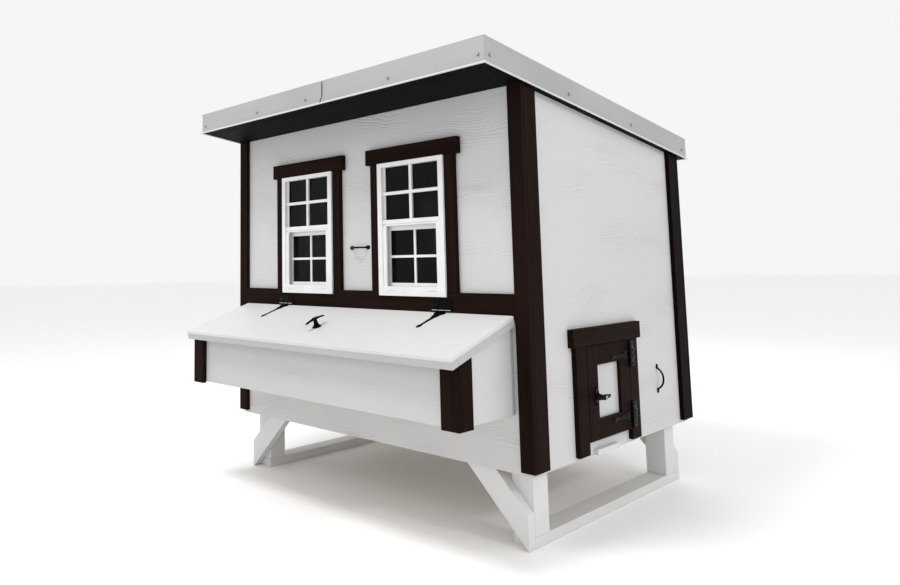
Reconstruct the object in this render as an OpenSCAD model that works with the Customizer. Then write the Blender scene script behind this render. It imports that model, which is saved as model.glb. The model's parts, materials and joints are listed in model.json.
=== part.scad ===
// Raised chicken coop with a mono-pitch roof, two windows, an outside nest box and two doors.
// Lengths are in millimetres. +Z is up and the windows face -Y. The origin is on the ground, at the
// middle of the whole coop's outer box.
// Most pieces are placed in wall coordinates: u runs right from the left trim's face, v runs back
// from the front trim's face, and w runs up from the bottom edge of the walls.

/* [Overall] */
// Width over the corner trims
coop_w = 1700; // [1640:10:1800]
// Depth over the corner trims
coop_d = 1260; // [1240:10:1400]
// Height of the walls' bottom edge above the ground
leg_h = 255; // [220:5:340]
// Height of the roof's underside above the walls' bottom edge, at the front
front_h = 1348; // [1340:4:1400]
// Fall of the roof towards the back, in degrees
roof_pitch = 7; // [5:0.5:8]

/* [Boards] */
// Thickness of the trim boards
trim_t = 19; // [16:1:22]
// Thickness of the siding panels
siding_t = 10; // [8:1:12]
// Side of the square wall studs
stud = 38; // [34:1:40]
// Thickness of plywood panels
ply = 12; // [9:1:15]
// Width of the corner trims on the front and back faces
corner_face_w = 58; // [50:1:64]
// Width of the corner trims on the side faces
corner_side_w = 92; // [80:1:100]
// Height of the corner trims' bottom ends above the walls' bottom edge
corner_lift = 13; // [0:1:20]

/* [Base] */
// Thickness of the base lumber
lumber_t = 38; // [34:1:40]
// Width of the base lumber, and side of the legs
lumber_w = 89; // [80:1:92]
// Inset of the base's outer sides from the corner trims
base_inset = 60; // [45:1:90]
// Distance from the front trim's face to the front of the base
base_front = 38; // [30:1:60]
// Distance from the back trim's face to the back of the base
base_back = 39; // [30:1:60]

/* [Windows] */
// Width of a window's frame
window_w = 350; // [340:1:370]
// Height of the window sills above the walls' bottom edge
window_sill = 607; // [600:1:615]
// Height of the window heads above the walls' bottom edge
window_head = 1128; // [1110:1:1135]
// Distance of each window's middle from the coop's middle
window_off = 319; // [300:1:340]

/* [Nest box] */
// Inset of the nest box's corner trims from the coop's corner trims
nest_inset = 72; // [66:1:80]
// Offset of the nest box to the right of the coop's middle
nest_shift = 8; // [0:1:10]
// Overhang of the lid past each side of the nest box
lid_side = 3; // [0:1:12]
// Distance the nest box stands out from the front trim's face
nest_out = 310; // [290:5:330]
// Height of the nest box's underside above the walls' bottom edge
nest_low = 196; // [180:2:210]
// Slope of the nest box's lid, in degrees
lid_tilt = 18; // [16:0.5:19]
// Length of the lid down its slope
lid_len = 362; // [348:1:378]
// Number of nests side by side
nests = 5; // [4:1:6]

/* [Doors] */
// Distance from the front trim's face to the near side of the chicken door
hen_door_v = 364; // [350:1:390]
// Width of the chicken door
hen_door_w = 323; // [300:1:330]
// Bottom of the chicken door above the walls' bottom edge
hen_door_low = 56; // [54:1:70]
// Height of the chicken door
hen_door_h = 344; // [330:1:350]
// Width of the rear access door
rear_door_w = 1100; // [900:10:1150]
// Height of the rear access door
rear_door_h = 720; // [600:10:760]

/* [Hardware] */
// Outer radius of the hinge knuckles
knuckle_r = 5; // [4.5:0.5:6]
// Radius of the hinge pins
pin_r = 2.5; // [2:0.25:3]
// Reach of a T-handle from the face it is on, to its bar's axis
handle_reach = 36; // [34:1:42]
// Radius of a T-handle's stem
stem_r = 6; // [5:0.5:7]

/* [Hidden] */

$fn = 48;
paint = "gainsboro";
brown = [0.16, 0.11, 0.1];
black = [0.07, 0.07, 0.08];
timber = "burlywood";
metal = "silver";
vinyl = "white";
pane_tint = [0.1, 0.11, 0.12];

// Gaps: between moving pieces, around turning pins, and between boards that meet.
touch_gap = 0.3;
run_gap = 0.05;
seam = 0.4;
screw_head = 3;

// Roof sizes: overhangs from the trims' faces, and the stack of layers above the underside.
roof_front = 217;
roof_back = 70;
roof_side = 13;
rim_h = 64;
rib_h = 15;
sheet_t = 1;
edge_t = 1.5;

// Where the coop's corner lies, so that the origin is at the middle of the outer box.
handle_bar_r = 8;
handle_tip_r = 5;
reach_right = coop_w + handle_reach + handle_bar_r;
reach_left = -roof_side - screw_head;
lid_pin_v = -knuckle_r;
lid_pin_w = 538.6;
lid_start = 2;
reach_front = lid_pin_v - (lid_start + lid_len) * cos(lid_tilt) + knuckle_r * sin(lid_tilt);
reach_rear = coop_d + roof_back;
left_x = -(reach_right + reach_left) / 2;
front_y = -(reach_front + reach_rear) / 2;

wall_in = trim_t + siding_t;
room_in = wall_in + stud;
floor_top = stud + ply;
mid_u = coop_w / 2;

// A span shortened at both ends by the gap where boards meet.
function between(a, b) = [a + seam, b - seam];
// Height of the roof's underside at depth v.
function under_roof(v) = front_h - v * tan(roof_pitch);
// Height of the closed lid's top surface at depth v.
function lid_top(v) = lid_pin_w - knuckle_r / cos(lid_tilt) + (v - lid_pin_v) * tan(lid_tilt);
nest_left = nest_inset + nest_shift;

// The nest box's width with the given distance taken off each end.
function nest_span(off) = [nest_left + off, coop_w - nest_inset + nest_shift - off];

// A box between two corners in wall coordinates.
module block(u, v, w)
    translate([left_x + u[0], front_y + v[0], leg_h + w[0]])
        cube([u[1] - u[0], v[1] - v[0], w[1] - w[0]]);

// A (v, w) outline carried across from u[0] to u[1].
module across(u, outline)
    translate([left_x + u[0], front_y, leg_h]) rotate([90, 0, 90])
        linear_extrude(u[1] - u[0]) polygon(outline);

// A (u, w) outline carried back from v[0] to v[1].
module through(v, outline)
    translate([left_x, front_y + v[1], leg_h]) rotate([90, 0, 0])
        linear_extrude(v[1] - v[0]) polygon(outline);

// A board across u whose ends follow the roof's underside, lifted by rise.
module roof_board(u, v, low, high)
    across(u, [[v[0], under_roof(v[0]) + low], [v[1], under_roof(v[1]) + low],
               [v[1], under_roof(v[1]) + high], [v[0], under_roof(v[0]) + high]]);

// An upright board whose top is cut to the roof's underside.
module wall_board(u, v, low)
    across(u, [[v[0], low], [v[1], low], [v[1], under_roof(v[1])], [v[0], under_roof(v[0])]]);

// Mirrors children across the coop's middle plane.
module mirrored() translate([2 * (left_x + mid_u), 0, 0]) mirror([1, 0, 0]) children();

// Puts children at the same place on the left and right halves of the coop.
module both_sides() {
    children();
    mirrored() children();
}

// Local frames on the walls: x runs to the right of someone facing the wall, -y comes out of it.
module on_front(u, w, v = 0) translate([left_x + u, front_y + v, leg_h + w]) children();
module on_right(v, w) translate([left_x + coop_w, front_y + v, leg_h + w]) rotate([0, 0, 90]) children();
module on_back(u, w) translate([left_x + u, front_y + coop_d, leg_h + w]) rotate([0, 0, 180]) children();
// Frame at the lid's hinge axis: -y runs down the lid's slope and z comes out of its top.
module on_lid()
    translate([left_x, front_y + lid_pin_v, leg_h + lid_pin_w]) rotate([lid_tilt, 0, 0]) children();

// ---------- base ----------
base_z = -leg_h;
leg_front = base_front + lumber_t;
leg_back = coop_d - base_back - lumber_t;
brace_foot = 6;
brace_run = lumber_w * sqrt(2);

module base_runners() color(paint) both_sides()
    block([base_inset, base_inset + lumber_w], [leg_front, leg_back], [base_z, base_z + lumber_t]);

module base_legs() color(paint) both_sides()
    for (v = [leg_front, leg_back - lumber_w])
        block([base_inset, base_inset + lumber_w], [v, v + lumber_w], [base_z + lumber_t, 0]);

// Each brace covers a runner's end and a leg, and rises at 45 degrees from the ground to the floor.
module base_braces() color(paint) both_sides()
    for (v = [base_front, leg_back]) {
        u = base_inset;
        toe = u + brace_foot + leg_h;
        through([v, v + lumber_t], [[u, base_z], [u + brace_foot, base_z], [toe, 0],
            [toe - brace_run, 0], [u, base_z + brace_run - brace_foot]]);
    }

// ---------- floor ----------
joists = 5;

module floor_frame() color(timber) {
    for (v = [wall_in, coop_d - wall_in - stud])
        block([wall_in, coop_w - wall_in], [v, v + stud], [0, stud]);
    for (i = [0 : joists - 1]) {
        u = wall_in + i * (coop_w - 2 * wall_in - lumber_w) / (joists - 1);
        block([u, u + lumber_w], between(room_in, coop_d - room_in), [0, stud]);
    }
}

module floor_panel() color(timber)
    block([wall_in, coop_w - wall_in], [wall_in, coop_d - wall_in], [stud, floor_top]);

// ---------- wall frames ----------
plate_top = 6;
nest_sill = nest_low + 20;
nest_head = 499;
window_us = [mid_u - window_off, mid_u + window_off];

// One stud or rail of the front wall.
module front_stick(u, w) block(u, [wall_in, room_in], w);

module front_wall_frame() color(timber) {
    inner = between(room_in, coop_w - room_in);
    nest_beam = [nest_head + 18, nest_head + 18 + stud];
    top_low = under_roof(room_in) - stud;
    front_stick([wall_in, coop_w - wall_in], [floor_top, floor_top + stud]);
    front_stick(inner, [nest_sill - stud, nest_sill]);
    front_stick(inner, nest_beam);
    across([wall_in, coop_w - wall_in], [[wall_in, top_low], [room_in, top_low],
        [room_in, under_roof(room_in) + plate_top], [wall_in, under_roof(wall_in) + plate_top]]);
    for (u = [wall_in, coop_w - room_in])
        front_stick([u, u + stud], between(floor_top + stud, top_low));
    for (c = window_us) {
        for (u = [c - window_w / 2 - stud, c + window_w / 2])
            front_stick([u, u + stud], between(nest_beam[1], top_low));
        for (w = [window_sill - stud, window_head])
            front_stick(between(c - window_w / 2, c + window_w / 2), [w, w + stud]);
    }
}

rear_door_u = (coop_w - rear_door_w) / 2;
rear_door_low = 120;
rear_open = 14;
back_v = coop_d - room_in;

module back_wall_frame() color(timber) {
    top_low = under_roof(coop_d - wall_in) - stud;
    v = [back_v, coop_d - wall_in];
    block([wall_in, coop_w - wall_in], v, [floor_top, floor_top + stud]);
    across([wall_in, coop_w - wall_in], [[v[0], top_low], [v[1], top_low],
        [v[1], under_roof(v[1]) + plate_top], [v[0], under_roof(v[0]) + plate_top]]);
    head = rear_door_low + rear_door_h + 30;
    studs_u = [wall_in, rear_door_u - 30 - stud, rear_door_u + rear_door_w + 30, coop_w - room_in];
    for (u = studs_u) block([u, u + stud], v, between(floor_top + stud, top_low));
    block(between(studs_u[1] + stud, studs_u[2]), v, [head, head + stud]);
}

hen_jamb_w = 73;
hen_stud_v = [hen_door_v - 60 - stud, hen_door_v + hen_door_w + 40];
hen_head = hen_door_low + hen_door_h + 20;

// One side wall's sticks, from u to u + stud, with an opening where the wall has the chicken door.
module side_frame(u, has_door) {
    front = room_in + seam;
    back = back_v - seam;
    us = [u, u + stud];
    plate = [floor_top, floor_top + stud];
    across(us, [[front, under_roof(front) - stud], [back, under_roof(back) - stud],
        [back, under_roof(back) + plate_top], [front, under_roof(front) + plate_top]]);
    if (has_door) {
        block(us, [front, hen_stud_v[0] + stud], plate);
        block(us, [hen_stud_v[1], back], plate);
        block(us, between(hen_stud_v[0] + stud, hen_stud_v[1]), [hen_head, hen_head + stud]);
    } else {
        block(us, [front, back], plate);
    }
    for (v = [hen_stud_v[0], hen_stud_v[1], back - stud - 60])
        across(us, [[v, plate[1] + seam], [v + stud, plate[1] + seam],
            [v + stud, under_roof(v + stud) - stud - seam], [v, under_roof(v) - stud - seam]]);
}

module side_wall_frames() color(timber) {
    side_frame(wall_in, false);
    side_frame(coop_w - room_in, true);
}

// ---------- siding ----------
module front_siding() color(paint) difference() {
    wall_board([trim_t, coop_w - trim_t], [trim_t, wall_in], 0);
    for (c = window_us)
        block([c - window_w / 2, c + window_w / 2], [0, stud], [window_sill, window_head]);
    block(nest_in_u, [0, stud], [nest_low, nest_head]);
}

module back_siding() color(paint) difference() {
    wall_board([trim_t, coop_w - trim_t], [coop_d - wall_in, coop_d - trim_t], 0);
    block([rear_door_u + rear_open, rear_door_u + rear_door_w - rear_open],
        [coop_d - room_in, coop_d], [rear_door_low + rear_open, rear_door_low + rear_door_h - rear_open]);
}

module left_siding() color(paint)
    wall_board([trim_t, wall_in], [wall_in, coop_d - wall_in], 0);

hen_open = 12;
module right_siding() color(paint) difference() {
    wall_board([coop_w - wall_in, coop_w - trim_t], [wall_in, coop_d - wall_in], 0);
    block([coop_w - room_in, coop_w],
        [hen_door_v + hen_open, hen_door_v + hen_door_w - hen_open],
        [hen_door_low + 6, hen_door_low + hen_door_h - 8]);
}

// ---------- outside trim ----------
// One corner's two boards: the face board covers the side board's edge.
module corner_boards(v_face, v_side) {
    wall_board([0, corner_face_w], v_face, corner_lift);
    wall_board([0, trim_t], v_side, corner_lift);
}
module front_corner() corner_boards([0, trim_t], [trim_t + seam, corner_side_w]);
module back_corner()
    corner_boards([coop_d - trim_t, coop_d], [coop_d - corner_side_w, coop_d - trim_t - seam]);

module front_left_corner_trim() color(brown) front_corner();
module front_right_corner_trim() color(brown) mirrored() front_corner();
module back_left_corner_trim() color(brown) back_corner();
module back_right_corner_trim() color(brown) mirrored() back_corner();

module front_band_board() color(brown)
    block([corner_face_w, coop_w - corner_face_w], [0, trim_t], [window_sill - lumber_w, window_sill]);

window_jamb_w = 48;
header_over = 22;
header_h = 64;
header_t = 25;

module window_headers() color(brown) for (c = window_us) {
    half = window_w / 2 + window_jamb_w + header_over;
    block([c - half, c + half], [trim_t - header_t, trim_t], [window_head, window_head + header_h]);
}

module window_jamb_trims() color(brown) for (c = window_us, side = [-1, 1]) {
    edge = c + side * (window_w + window_jamb_w) / 2;
    block([edge - window_jamb_w / 2, edge + window_jamb_w / 2], [0, trim_t], [window_sill, window_head]);
}

// ---------- windows ----------
// Depths are from the front trim's face, heights from the sill.
ring = 24;
sill_ring = 20;
head_ring = 18;
window_h = window_head - window_sill;
frame_out = -8;
sill_nose = 17;
frame_in = 46;
meet = 262;
meet_h = 25;
meet_lip = [3, 9];
bar = 13;
sash_bar = 10;
stop_t = 2;
stop_out = 6;
track_w = 19;
track_v = [-3, 5];
weep = [34, 2.5, 3];
weep_off = 113;
upper_stile = 8;
upper_stile_v = [8, 16];
upper_glass_v = [12, 15];
sash_v = [20, 36];
sash_stile = 18;
sash_rail = 13;
sash_meet = 24;
sash_top = meet + 6;
lift_w = 70;
lift_out = 10;

// Bars that cross a light w by h: two rows by two columns.
module cross_bars(w, h, v, bar_w) {
    translate([-bar_w / 2, v[0], 0]) cube([bar_w, v[1] - v[0], h]);
    translate([-w / 2, v[0], (h - bar_w) / 2]) cube([w, v[1] - v[0], bar_w]);
}

frame_w = window_w - 2 * ring;
upper_low = meet + meet_h;
upper_h = window_h - head_ring - upper_low;

// A bar up each side of the frame's opening: width, depths and heights.
module side_strips(w, v, low, h) for (side = [-1, 1])
    translate([side * (frame_w - w) / 2 - w / 2, v[0], low]) cube([w, v[1] - v[0], h]);

// The frame holds the fixed upper light; front tracks and two pairs of stops guide the lower sash.
module window_frame() {
    stop_h = window_h - sill_ring - head_ring;
    difference() {
        translate([-window_w / 2, frame_out, 0]) cube([window_w, frame_in - frame_out, window_h]);
        translate([-frame_w / 2, frame_out - 1, sill_ring]) cube([frame_w, frame_in - frame_out + 2, stop_h]);
        for (side = [-1, 1])
            translate([side * weep_off - weep[0] / 2, frame_out - 1, 2])
                cube([weep[0], weep[2] + 1, weep[1]]);
    }
    translate([-window_w / 2, frame_out, -sill_nose]) cube([window_w, -frame_out, sill_nose]);
    translate([-frame_w / 2, 0, meet]) cube([frame_w, upper_stile_v[1], meet_h]);
    translate([-frame_w / 2, -meet_lip[0], meet + meet_lip[1]])
        cube([frame_w, meet_lip[0], meet_h - meet_lip[1]]);
    translate([0, 0, upper_low]) cross_bars(frame_w, upper_h, [2, upper_glass_v[0]], bar);
    side_strips(upper_stile, upper_stile_v, upper_low, upper_h);
    side_strips(track_w, track_v, sill_ring, meet - sill_ring);
    side_strips(stop_out, [sash_v[1] + touch_gap, sash_v[1] + touch_gap + stop_t], sill_ring, stop_h);
    side_strips(stop_out, [sash_v[0] - touch_gap - stop_t, sash_v[0] - touch_gap], sill_ring, stop_h);
}

module upper_light_glass() {
    w = frame_w - 2 * upper_stile;
    translate([-w / 2, upper_glass_v[0], upper_low])
        cube([w, upper_glass_v[1] - upper_glass_v[0], upper_h]);
}

sash_w = frame_w - 2 * touch_gap;
sash_low = sill_ring + touch_gap;
light_w = sash_w - 2 * sash_stile;
light_low = sash_low + sash_rail;
light_top = sash_top - sash_meet;
sash_pane_v = [27, 30];

module lower_sash() {
    difference() {
        translate([-sash_w / 2, sash_v[0], sash_low])
            cube([sash_w, sash_v[1] - sash_v[0], sash_top - sash_low]);
        translate([-light_w / 2, sash_v[0] - 1, light_low])
            cube([light_w, sash_v[1] - sash_v[0] + 2, light_top - light_low]);
    }
    translate([0, 0, light_low])
        cross_bars(light_w, light_top - light_low, [sash_v[0] + 2, sash_pane_v[0]], sash_bar);
    translate([-lift_w / 2, sash_v[1], light_low - 12]) cube([lift_w, lift_out, 5]);
}

module sash_glass()
    translate([-light_w / 2, sash_pane_v[0], light_low])
        cube([light_w, sash_pane_v[1] - sash_pane_v[0], light_top - light_low]);

module left_window_frame() color(vinyl) on_front(window_us[0], window_sill) window_frame();
module right_window_frame() color(vinyl) on_front(window_us[1], window_sill) window_frame();
module upper_window_glass() color(pane_tint)
    for (c = window_us) on_front(c, window_sill) upper_light_glass();
module left_lower_sash() color(vinyl) on_front(window_us[0], window_sill) lower_sash();
module right_lower_sash() color(vinyl) on_front(window_us[1], window_sill) lower_sash();
module left_sash_glass() color(pane_tint) on_front(window_us[0], window_sill) sash_glass();
module right_sash_glass() color(pane_tint) on_front(window_us[1], window_sill) sash_glass();

// ---------- nest box ----------
lid_panel_drop = ply / cos(lid_tilt) + 1.5;
lid_edge_h = 38;
lid_edge_w = 32;
lid_edge_drop = lid_edge_h / cos(lid_tilt) + 1.5;
nest_trim_w = 76;
nest_trim_side = 54;
nest_panel_v = [trim_t - nest_out, wall_in - nest_out];
nest_in_u = nest_span(wall_in);

module both_nest_sides() {
    children();
    translate([2 * nest_shift, 0, 0]) mirrored() children();
}

module nest_front_panel() color(paint)
    block(nest_span(trim_t), nest_panel_v,
        [nest_low, lid_top(nest_panel_v[0]) - lid_edge_drop]);

// A side board of the nest box with its top parallel to the lid.
module nest_side_board(u, v, low)
    across(u, [[v[0], low], [v[1], low],
        [v[1], lid_top(v[1]) - lid_edge_drop], [v[0], lid_top(v[0]) - lid_edge_drop]]);

module nest_side_panels() color(paint) both_nest_sides()
    nest_side_board([nest_left + trim_t, nest_in_u[0]], [nest_panel_v[1], trim_t], nest_low);

module nest_floor() color(timber)
    block(nest_in_u, [nest_panel_v[1], wall_in], [nest_low, nest_low + ply]);

nest_pitch = (nest_in_u[1] - nest_in_u[0] + ply) / nests;
module nest_dividers() color(timber) for (i = [1 : nests - 1]) {
    u = nest_in_u[0] + i * nest_pitch - ply;
    low = nest_low + ply;
    front_v = nest_panel_v[1];
    bend_v = (nest_head - lid_top(0) + lid_panel_drop) / tan(lid_tilt);
    across([u, u + ply], [[front_v, low], [wall_in, low], [wall_in, nest_head], [bend_v, nest_head],
        [front_v, lid_top(front_v) - lid_panel_drop]]);
}

module nest_corner_trims() color(brown) both_nest_sides() {
    block([nest_left, nest_left + nest_trim_w], [-nest_out, trim_t - nest_out],
        [nest_low - 6, lid_top(-nest_out) - lid_edge_drop]);
    nest_side_board([nest_left, nest_left + trim_t],
        [nest_panel_v[0] + seam, nest_panel_v[0] + nest_trim_side], nest_low - 6);
}

lip_h = 55;
lid_handle_u = 832;
lid_handle_s = 210;
latch_v = [-182, -154];
latch_w = lid_top(latch_v[0]) - lid_panel_drop - 1;

// A lip keeps the bedding in, and the lid's cam turns under a rail between two dividers.
module nest_rails() color(timber) {
    block(between(room_in, coop_w - room_in), [wall_in, wall_in + trim_t], [nest_sill, nest_sill + lip_h]);
    i = floor((lid_handle_u - nest_in_u[0]) / nest_pitch);
    u = nest_in_u[0] + i * nest_pitch;
    block([u, u + nest_pitch - ply], latch_v, [latch_w - trim_t, latch_w]);
}

lid_u = nest_span(-lid_side);
lid_z = -knuckle_r;
stem_hole_r = stem_r + 2;

module nest_lid_panel() color(paint) on_lid() difference() {
    translate([lid_u[0], -lid_start - lid_len, lid_z - ply]) cube([lid_u[1] - lid_u[0], lid_len, ply]);
    translate([lid_handle_u, -lid_handle_s, lid_z - ply - 1]) cylinder(r = stem_hole_r, h = ply + 2);
}

module nest_lid_edging() color(paint) on_lid() {
    low = lid_z - lid_edge_h;
    h = lid_edge_h - ply;
    translate([lid_u[0], -lid_start - lid_len, low]) cube([lid_u[1] - lid_u[0], lid_edge_w, h]);
    for (u = [lid_u[0], lid_u[1] - lid_edge_w])
        translate([u, -lid_start - lid_len + lid_edge_w + seam, low])
            cube([lid_edge_w, lid_len - lid_edge_w - seam, h]);
}

// ---------- T-hinges ----------
// The pin lies on local Z and the mounting faces are at y = knuckle_r. The leaf goes to +x.
plate_t = 2.5;
leaf_w = 43;
leaf_h = 106;
strap_len = 150;
strap_root = 22;
strap_tip = 7;
knuckle_mid = 15;
knuckle_end = 34;

module knuckle(z0, z1) translate([0, 0, z0]) difference() {
    union() {
        cylinder(r = knuckle_r, h = z1 - z0);
        translate([0, knuckle_r - plate_t, 0]) cube([knuckle_r + 1.5, plate_t, z1 - z0]);
    }
    translate([0, 0, -1]) cylinder(r = pin_r + run_gap, h = z1 - z0 + 2);
}

module hinge_leaf() {
    translate([knuckle_r + 1, knuckle_r - plate_t, -leaf_h / 2]) cube([leaf_w, plate_t, leaf_h]);
    knuckle(knuckle_mid, knuckle_end);
    knuckle(-knuckle_end, -knuckle_mid);
}

module hinge_strap() {
    mirror([1, 0, 0]) knuckle(touch_gap - knuckle_mid, knuckle_mid - touch_gap);
    translate([0, knuckle_r, 0]) rotate([90, 0, 0]) linear_extrude(plate_t) {
        polygon([[-knuckle_r - 1, -strap_root], [-knuckle_r - 1, strap_root],
            [10 - strap_len, strap_tip], [10 - strap_len, -strap_tip]]);
        translate([8 - strap_len, 0]) circle(r = strap_tip + 3);
    }
}

module hinge_pin() {
    translate([0, 0, -knuckle_end - 2]) cylinder(r = pin_r, h = 2 * knuckle_end + 4);
    for (z = [-knuckle_end - 4, knuckle_end]) translate([0, 0, z]) cylinder(r = pin_r + 1.2, h = 4);
}

lid_hinge_us = [mid_u - 470, mid_u + 470];
hen_pin_v = hen_door_v + hen_door_w + 2;
hen_hinge_ws = [110, 345];
rear_pin_u = rear_door_u - 2;
rear_hinge_ws = [rear_door_low + 130, rear_door_low + rear_door_h - 130];

module at_lid_hinges() for (u = lid_hinge_us)
    on_front(u, lid_pin_w, lid_pin_v) rotate([0, -90, 0]) children();
module at_hen_hinges() for (w = hen_hinge_ws)
    on_right(hen_pin_v, w) translate([0, -knuckle_r, 0]) children();
module at_rear_hinges() for (w = rear_hinge_ws)
    on_back(rear_pin_u, w) translate([0, -knuckle_r, 0]) children();

module hinge_leaves() color(black) {
    at_lid_hinges() hinge_leaf();
    at_hen_hinges() hinge_leaf();
    at_rear_hinges() hinge_leaf();
}
module hinge_pins() color(black) {
    at_lid_hinges() hinge_pin();
    at_hen_hinges() hinge_pin();
    at_rear_hinges() hinge_pin();
}
// The lid's straps lie on its slope, so they are turned up from the wall's plane.
module nest_lid_straps() color(black) at_lid_hinges() rotate([0, 0, 90 - lid_tilt]) hinge_strap();
module chicken_door_straps() color(black) at_hen_hinges() hinge_strap();
module rear_door_straps() color(black) at_rear_hinges() hinge_strap();

// ---------- T-handles ----------
// The stem lies on local Y and comes out at -y. The face it is on is y = 0.
handle_plate = [36, 76];
rosette_r = 19;
handle_bar = 90;
cam_len = 62;
cam_w = 16;
cam_t = 3;

module plate_hole() translate([0, 1, 0]) rotate([90, 0, 0]) cylinder(r = stem_r + run_gap, h = 5);

module handle_plate_body() difference() {
    translate([-handle_plate[0] / 2, -3, -handle_plate[1] / 2]) cube([handle_plate[0], 3, handle_plate[1]]);
    plate_hole();
}

// depth is the distance from the face to the near side of the cam.
module handle_body(depth, bar_turn) {
    back = depth + cam_t;
    translate([0, back, 0]) rotate([90, 0, 0]) cylinder(r = stem_r, h = handle_reach + back);
    rotate([0, bar_turn, 0]) translate([0, -handle_reach, 0]) for (turn = [0, 180]) rotate([turn, 0, 0]) {
        cylinder(r1 = handle_bar_r, r2 = handle_tip_r, h = handle_bar / 2);
        translate([0, 0, handle_bar / 2]) sphere(r = handle_tip_r);
    }
    translate([-cam_w / 2, depth, -cam_len]) cube([cam_w, cam_t, cam_len]);
}

lid_cam_depth = ply + 34;
hen_cam_depth = trim_t + siding_t + 2;
rear_cam_depth = trim_t + siding_t + 2;
hen_handle = [hen_door_v + 56, 216];
rear_handle = [rear_door_u + rear_door_w - 40, rear_door_low + rear_door_h / 2];

// Turns the handle's frame so that its -y comes out of the lid and its z runs up the slope.
module at_lid_handle()
    on_lid() translate([lid_handle_u, -lid_handle_s, lid_z]) rotate([-90, 0, 0]) children();

module lid_handle_plate() color(black) at_lid_handle() difference() {
    rotate([90, 0, 0]) cylinder(r = rosette_r, h = 3);
    plate_hole();
}
module lid_handle() color(black) at_lid_handle() rotate([0, 90, 0]) handle_body(lid_cam_depth, 90);
module chicken_door_plate() color(black) on_right(hen_handle[0], hen_handle[1]) handle_plate_body();
module chicken_door_handle() color(black)
    on_right(hen_handle[0], hen_handle[1]) handle_body(hen_cam_depth, 90);
module rear_door_plate() color(black) on_back(rear_handle[0], rear_handle[1]) handle_plate_body();
module rear_door_handle() color(black)
    on_back(rear_handle[0], rear_handle[1]) handle_body(rear_cam_depth, 90);

// ---------- chicken door ----------
door_gap = 3;
hen_stile = 75;
hen_rail = 73;
hen_high = hen_door_low + hen_door_h;
hen_far = hen_door_v + hen_door_w;
hen_x = [coop_w - trim_t, coop_w];
hen_leaf_x = [coop_w - trim_t + touch_gap, coop_w];
hen_pane_in = 6;

module chicken_door_casing() color(brown) {
    for (v = [hen_door_v - door_gap - hen_jamb_w, hen_far + door_gap])
        block(hen_x, [v, v + hen_jamb_w], [corner_lift, hen_high + door_gap - seam]);
    block([coop_w - trim_t, coop_w - trim_t + header_t],
        [hen_door_v - door_gap - hen_jamb_w - header_over, hen_far + door_gap + hen_jamb_w + header_over],
        [hen_high + door_gap, hen_high + door_gap + header_h + 2]);
}

// Two stiles with two rails between them, rebated at the back for the pane.
module chicken_door_frame() color(brown) difference() {
    union() {
        for (v = [hen_door_v, hen_far - hen_stile])
            block(hen_leaf_x, [v, v + hen_stile], [hen_door_low, hen_high]);
        for (w = [hen_door_low, hen_high - hen_rail])
            block(hen_leaf_x, between(hen_door_v + hen_stile, hen_far - hen_stile), [w, w + hen_rail]);
    }
    block([coop_w - trim_t - 1, coop_w - trim_t + 5],
        [hen_door_v + hen_stile - hen_pane_in, hen_far - hen_stile + hen_pane_in],
        [hen_door_low + hen_rail - hen_pane_in, hen_high - hen_rail + hen_pane_in]);
    on_right(hen_handle[0], hen_handle[1]) translate([0, trim_t + 1, 0]) rotate([90, 0, 0])
        cylinder(r = stem_hole_r, h = trim_t + 2);
}

module chicken_door_pane() color("whitesmoke")
    block([coop_w - trim_t + 1, coop_w - trim_t + 5],
        [hen_door_v + hen_stile - hen_pane_in, hen_far - hen_stile + hen_pane_in],
        [hen_door_low + hen_rail - hen_pane_in, hen_high - hen_rail + hen_pane_in]);

cleat_v = [hen_door_v + 53, hen_door_v + 214];
cleat_w = [2, 22];
module ramp_cleat() color(paint) block(hen_x, cleat_v, cleat_w);

// ---------- rear access door ----------
rear_casing_w = 64;
rear_high = rear_door_low + rear_door_h;
rear_far = rear_door_u + rear_door_w;
rear_v = [coop_d - trim_t, coop_d];
rear_rail = 70;

module rear_door_casing() color(brown) {
    for (u = [rear_door_u - door_gap - rear_casing_w, rear_far + door_gap])
        block([u, u + rear_casing_w], rear_v, between(rear_door_low - door_gap, rear_high + door_gap));
    for (w = [rear_door_low - door_gap - rear_casing_w, rear_high + door_gap])
        block([rear_door_u - door_gap - rear_casing_w, rear_far + door_gap + rear_casing_w],
            rear_v, [w, w + rear_casing_w]);
}

// Stiles and rails lie over the door's siding panel.
module rear_door_frame() color(brown) difference() {
    union() {
        for (u = [rear_door_u, rear_far - rear_rail])
            block([u, u + rear_rail], [coop_d - trim_t + 6, coop_d], [rear_door_low, rear_high]);
        for (w = [rear_door_low, rear_high - rear_rail])
            block(between(rear_door_u + rear_rail, rear_far - rear_rail),
                [coop_d - trim_t + 6, coop_d], [w, w + rear_rail]);
    }
    rear_stem_hole();
}

module rear_stem_hole() on_back(rear_handle[0], rear_handle[1]) translate([0, trim_t + 1, 0])
    rotate([90, 0, 0]) cylinder(r = stem_hole_r, h = trim_t + 2);

module rear_door_panel() color(paint) difference() {
    block([rear_door_u, rear_far], [coop_d - trim_t + touch_gap, coop_d - trim_t + 6],
        [rear_door_low, rear_high]);
    rear_stem_hole();
}

// ---------- bow pulls ----------
pull_half = 52;
pull_rise = 30;
pull_r = 4;
pull_foot_r = 9;
pull_bow_r = (pull_half * pull_half + pull_rise * pull_rise) / (2 * pull_rise);
pull_angle = asin(pull_half / pull_bow_r);

front_pull = [mid_u + 10, 787];
side_pull = [968, 215];

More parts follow.
